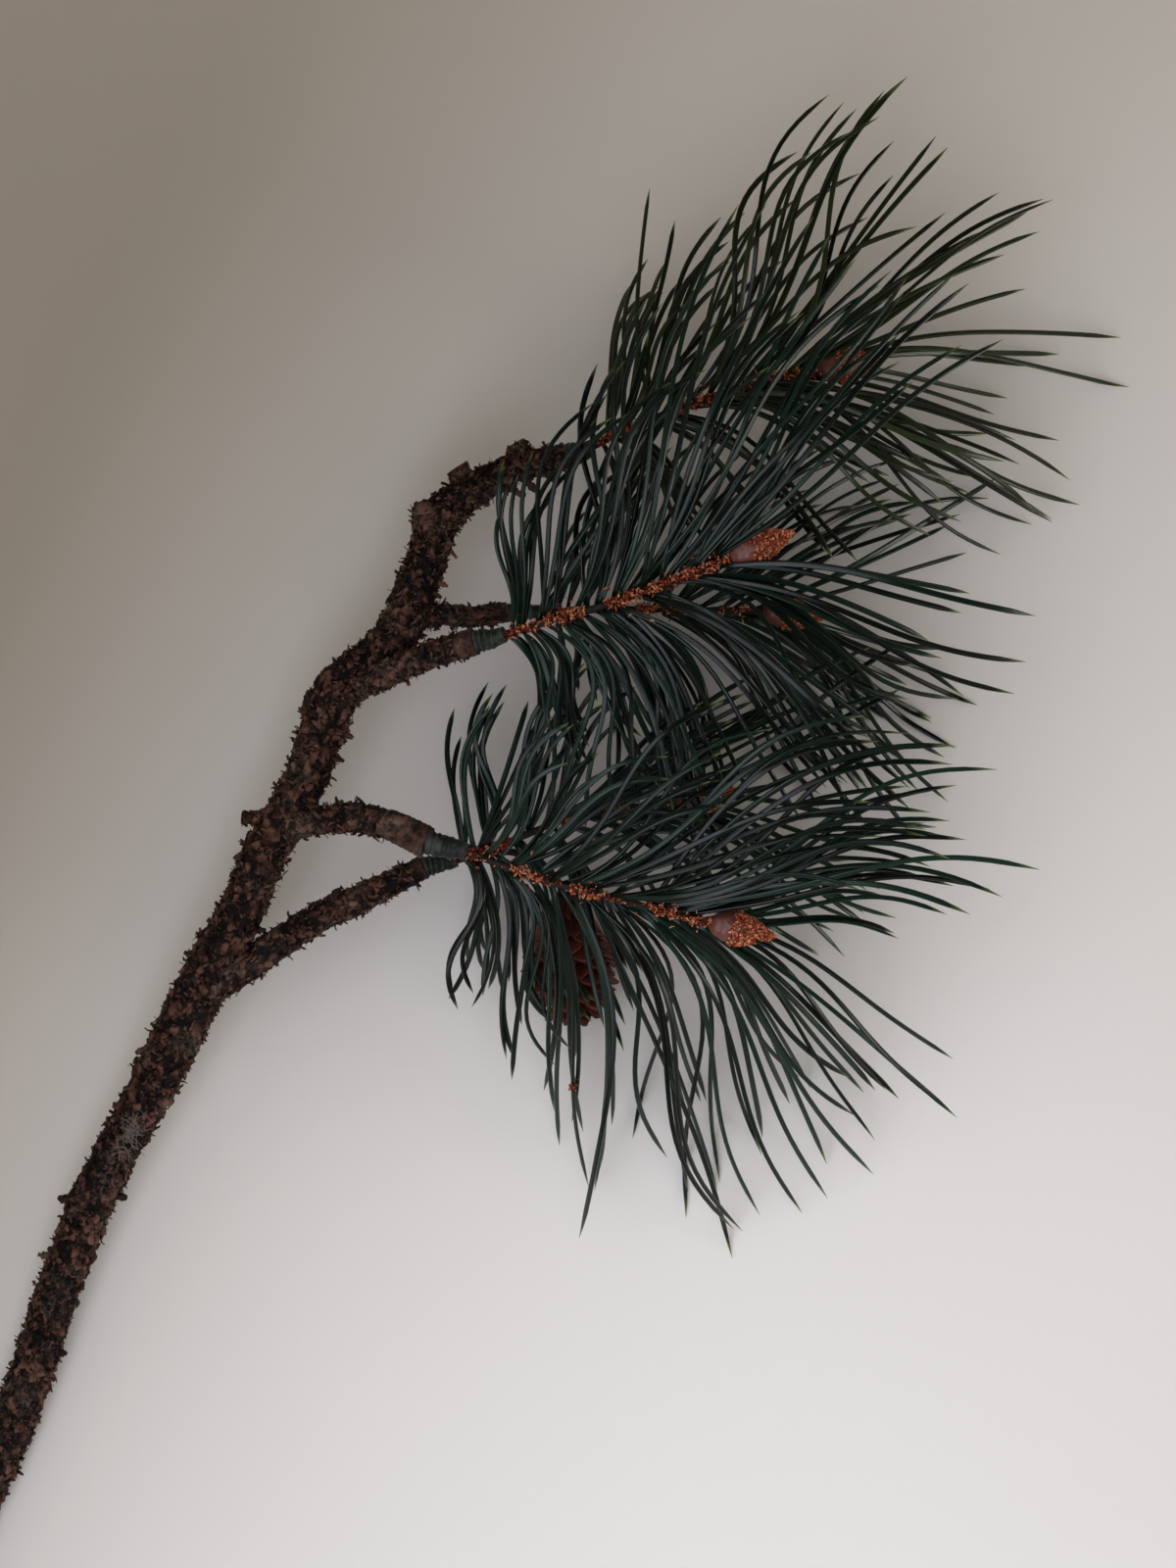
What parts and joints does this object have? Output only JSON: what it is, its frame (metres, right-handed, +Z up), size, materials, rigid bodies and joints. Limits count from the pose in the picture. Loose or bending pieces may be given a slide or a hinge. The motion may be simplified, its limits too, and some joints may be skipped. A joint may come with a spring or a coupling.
{
  "type": "artificial pine branch",
  "caption": "Artificial pine branch with a rough bark stem, long moulded needle sprays, copper-flocked buds and a small cone, lying on a surface.",
  "frame": {"origin": "middle of the underside of the whole branch, on the surface it lies on", "axes": "+X along the stem from its cut end towards the needles, -Y towards the side the sprays grow from, +Z up from the surface"},
  "size_m": [0.6176, 0.226, 0.0909],
  "materials": {
    "bark": "rough flaking bark, dark brown with grey and tan patches",
    "collar": "dull green moulded plastic, ringed",
    "flock": "granular copper-orange flock",
    "bud": "satin mauve-brown plastic with a flocked tip",
    "needles": "satin dark blue-green moulded plastic, fine grooves along it",
    "top_needles": "satin olive green moulded plastic, fine grooves along it",
    "cone": "glossy dark brown woody scales",
    "stalk": "brown taped wire"
  },
  "bodies": {
    "root": {"stem_lower": "bark", "stem_middle": "bark", "stem_upper": "bark", "leader": "bark", "side_branch_1": "bark", "side_branch_2": "bark", "side_branch_3": "bark", "side_branch_4": "bark", "cone": "cone", "cone_stalk": "stalk", "collar_lower_front": "collar", "twig_lower_front": "flock", "bud_lower_front": "bud", "needles_lower_front_left_1": "needles", "needles_lower_front_left_2": "needles", "needles_lower_front_left_3": "needles", "needles_lower_front_right_1": "needles", "needles_lower_front_right_2": "needles", "needles_lower_front_right_3": "needles", "collar_lower_back": "collar", "twig_lower_back": "flock", "bud_lower_back": "bud", "needles_lower_back_left_1": "needles", "needles_lower_back_left_2": "needles", "needles_lower_back_left_3": "needles", "needles_lower_back_right_1": "needles", "needles_lower_back_right_2": "needles", "needles_lower_back_right_3": "needles", "collar_middle_front": "collar", "twig_middle_front": "flock", "bud_middle_front": "bud", "needles_middle_front_left_1": "needles", "needles_middle_front_left_2": "needles", "needles_middle_front_left_3": "needles", "needles_middle_front_right_1": "needles", "needles_middle_front_right_2": "needles", "needles_middle_front_right_3": "needles", "collar_middle_back": "collar", "twig_middle_back": "flock", "bud_middle_back": "bud", "needles_middle_back_left_1": "needles", "needles_middle_back_left_2": "needles", "needles_middle_back_left_3": "needles", "needles_middle_back_right_1": "needles", "needles_middle_back_right_2": "needles", "needles_middle_back_right_3": "needles", "collar_top": "collar", "twig_top": "flock", "bud_top": "bud", "needles_top_left_1": "top_needles", "needles_top_left_2": "top_needles", "needles_top_left_3": "top_needles", "needles_top_right_1": "top_needles", "needles_top_right_2": "top_needles", "needles_top_right_3": "top_needles"}
  },
  "joints": []
}
